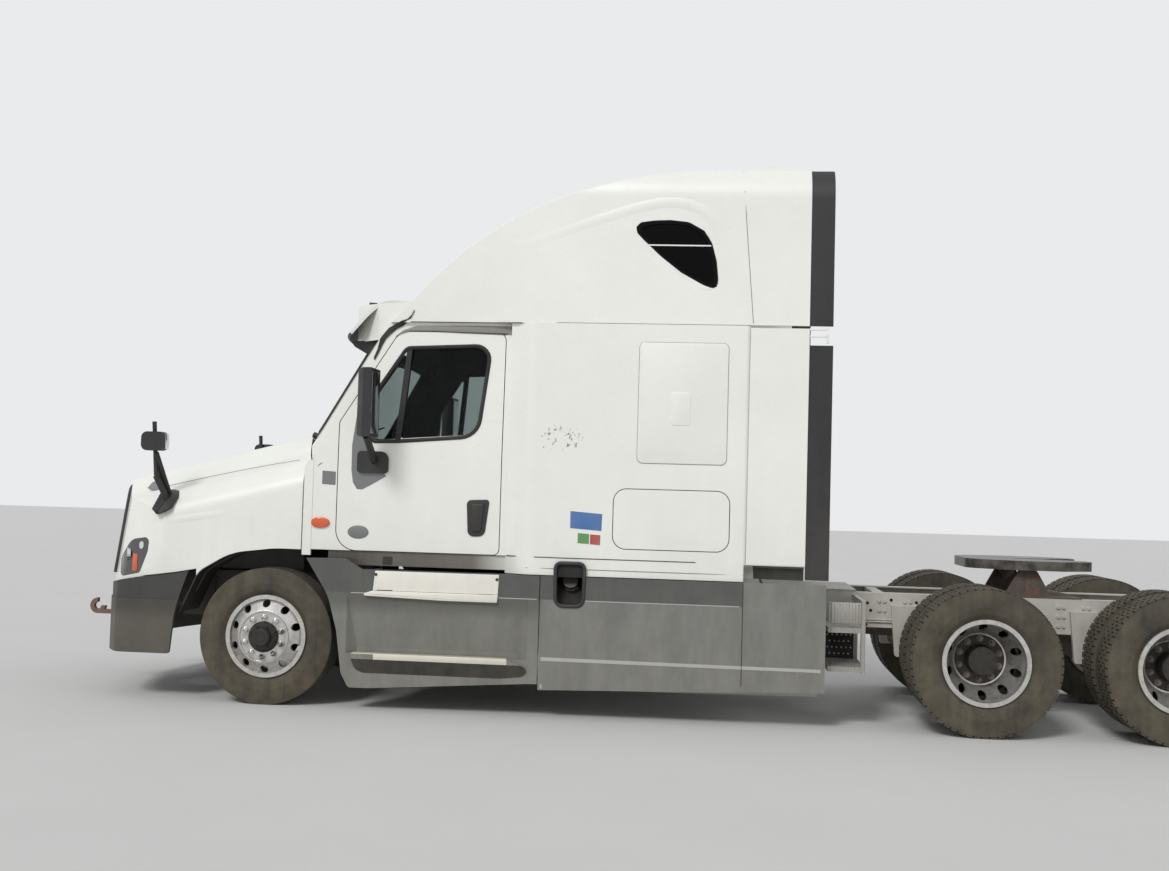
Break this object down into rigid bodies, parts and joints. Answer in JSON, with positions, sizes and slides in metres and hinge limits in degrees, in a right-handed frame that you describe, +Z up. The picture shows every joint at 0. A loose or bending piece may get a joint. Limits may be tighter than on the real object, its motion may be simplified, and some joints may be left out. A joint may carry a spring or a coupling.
{
  "type": "semi truck tractor unit",
  "caption": "Highway tractor with a raised-roof sleeper, tilting hood, steered front axle, twin-wheel tandem drive axles and a fifth wheel.",
  "frame": {"origin": "on the ground under the middle of the truck's length and width", "axes": "+X towards the rear, +Y towards the truck's right side, +Z up"},
  "size_m": [8.8898, 3.05, 4.0779],
  "materials": {
    "frame_black": "dusty satin black chassis paint",
    "cast_iron": "rusty cast iron and forged steel",
    "engine_grey": "painted castings with oil film",
    "white_paint": "glossy white body paint with road dust and chips",
    "grey_plastic": "weathered grey moulded plastic, scuffed and dusty",
    "black_plastic": "black moulded plastic",
    "rubber_black": "black rubber sheet",
    "tyre": "dusty black tread rubber",
    "wheel_alloy": "polished forged aluminium, dulled by brake dust",
    "tank_alloy": "brushed aluminium",
    "glass_clear": "tinted safety glass",
    "lamp_lens": "clear lamp lens over a dark housing",
    "lamp_amber": "amber lens",
    "lamp_red": "red lens",
    "grease_steel": "worn steel plate with grease",
    "cab_trim": "grey moulded cab trim",
    "seat_cloth": "woven grey seat cloth"
  },
  "bodies": {
    "chassis": {"ladder_frame": "frame_black", "frame_brackets": "frame_black", "engine_and_gearbox": "engine_grey", "driveshafts": "cast_iron", "radiator": "black_plastic", "front_axle_beam": "cast_iron", "front_leaf_springs": "cast_iron", "cab_shell": "white_paint", "sleeper_shell": "white_paint", "roof_fairing": "white_paint", "sun_visor": "white_paint", "fixed_windows": "glass_clear", "side_extenders": "white_paint", "extender_edges": "rubber_black", "front_bumper": "grey_plastic", "side_fairings": "grey_plastic", "fuel_tanks": "tank_alloy", "chassis_boxes": "black_plastic", "deck_plate": "tank_alloy", "mud_flaps": "rubber_black", "tail_lamps": "lamp_red", "marker_lamps": "lamp_amber", "fifth_wheel_base": "cast_iron", "dashboard": "cab_trim", "seats": "seat_cloth", "bunk": "seat_cloth", "drive_axles": "cast_iron", "trailing_arms": "cast_iron", "air_springs": "rubber_black"},
    "hood": {"hood": "white_paint", "fender_liners": "black_plastic", "grille": "black_plastic", "headlamps": "lamp_lens", "hood_mirrors": "black_plastic"},
    "tie_rod": {"tie_rod": "cast_iron"},
    "steering_wheel": {"steering_wheel": "black_plastic"},
    "fifth_wheel_plate": {"fifth_wheel_plate": "grease_steel"},
    "door_left": {"door_left": "white_paint", "door_glass_left": "glass_clear", "door_mirror_left": "black_plastic"},
    "luggage_door_left": {"luggage_door_left": "white_paint"},
    "knuckle_left": {"steering_knuckle_left": "cast_iron"},
    "front_wheel_left": {"front_wheel_left": "wheel_alloy", "front_tyre_left": "tyre"},
    "drive_wheels_1_left": {"drive_wheels_1_left": "wheel_alloy", "drive_tyres_1_left": "tyre"},
    "drive_wheels_2_left": {"drive_wheels_2_left": "wheel_alloy", "drive_tyres_2_left": "tyre"},
    "door_right": {"door_right": "white_paint", "door_glass_right": "glass_clear", "door_mirror_right": "black_plastic"},
    "luggage_door_right": {"luggage_door_right": "white_paint"},
    "knuckle_right": {"steering_knuckle_right": "cast_iron"},
    "front_wheel_right": {"front_wheel_right": "wheel_alloy", "front_tyre_right": "tyre"},
    "drive_wheels_1_right": {"drive_wheels_1_right": "wheel_alloy", "drive_tyres_1_right": "tyre"},
    "drive_wheels_2_right": {"drive_wheels_2_right": "wheel_alloy", "drive_tyres_2_right": "tyre"}
  },
  "joints": [
    {"name": "drive_1_left_spin", "type": "hinge", "parent": "chassis", "child": "drive_wheels_1_left", "pos_m": [2.351, -0.925, 0.512], "axis": [0, 1, 0], "continuous": true},
    {"name": "drive_2_left_spin", "type": "hinge", "parent": "chassis", "child": "drive_wheels_2_left", "pos_m": [3.646, -0.925, 0.512], "axis": [0, 1, 0], "continuous": true},
    {"name": "steer_left", "type": "hinge", "parent": "chassis", "child": "knuckle_left", "pos_m": [-2.755, -0.865, 0.494], "axis": [0, 0, 1], "range_deg": [-38, 38]},
    {"name": "front_left_spin", "type": "hinge", "parent": "knuckle_left", "child": "front_wheel_left", "pos_m": [-2.755, -1.05, 0.494], "axis": [0, 1, 0], "continuous": true},
    {"name": "door_left_swing", "type": "hinge", "parent": "chassis", "child": "door_left", "pos_m": [-2.267, -1.13, 1.9], "axis": [0, 0, -1], "range_deg": [0, 70]},
    {"name": "luggage_door_left_swing", "type": "hinge", "parent": "chassis", "child": "luggage_door_left", "pos_m": [-0.238, -1.2, 1.425], "axis": [0, 0, -1], "range_deg": [0, 95]},
    {"name": "drive_1_right_spin", "type": "hinge", "parent": "chassis", "child": "drive_wheels_1_right", "pos_m": [2.351, 0.925, 0.512], "axis": [0, 1, 0], "continuous": true},
    {"name": "drive_2_right_spin", "type": "hinge", "parent": "chassis", "child": "drive_wheels_2_right", "pos_m": [3.646, 0.925, 0.512], "axis": [0, 1, 0], "continuous": true},
    {"name": "steer_right", "type": "hinge", "parent": "chassis", "child": "knuckle_right", "pos_m": [-2.755, 0.865, 0.494], "axis": [0, 0, 1], "range_deg": [-38, 38]},
    {"name": "front_right_spin", "type": "hinge", "parent": "knuckle_right", "child": "front_wheel_right", "pos_m": [-2.755, 1.05, 0.494], "axis": [0, 1, 0], "continuous": true},
    {"name": "door_right_swing", "type": "hinge", "parent": "chassis", "child": "door_right", "pos_m": [-2.267, 1.13, 1.9], "axis": [0, 0, 1], "range_deg": [0, 70]},
    {"name": "luggage_door_right_swing", "type": "hinge", "parent": "chassis", "child": "luggage_door_right", "pos_m": [-0.238, 1.2, 1.425], "axis": [0, 0, 1], "range_deg": [0, 95]},
    {"name": "tie_rod_pivot", "type": "hinge", "parent": "knuckle_left", "child": "tie_rod", "pos_m": [-2.545, -0.865, 0.37], "axis": [0, 0, 1], "range_deg": [-38, 38]},
    {"name": "steering_wheel_turn", "type": "hinge", "parent": "chassis", "child": "steering_wheel", "pos_m": [-1.85, -0.56, 1.86], "axis": [0.722, 0, 0.6919], "range_deg": [-608, 608]},
    {"name": "hood_tilt", "type": "hinge", "parent": "chassis", "child": "hood", "pos_m": [-4.14, 0, 0.7], "axis": [0, -1, 0], "range_deg": [0, 65]},
    {"name": "fifth_wheel_tilt", "type": "hinge", "parent": "chassis", "child": "fifth_wheel_plate", "pos_m": [2.805, 0, 1.085], "axis": [0, 1, 0], "range_deg": [-12, 12]}
  ],
  "couplings": [
    {"joint": "steer_right", "follows": "steer_left", "ratio": 1},
    {"joint": "tie_rod_pivot", "follows": "steer_left", "ratio": -1},
    {"joint": "steering_wheel_turn", "follows": "steer_left", "ratio": 16}
  ]
}
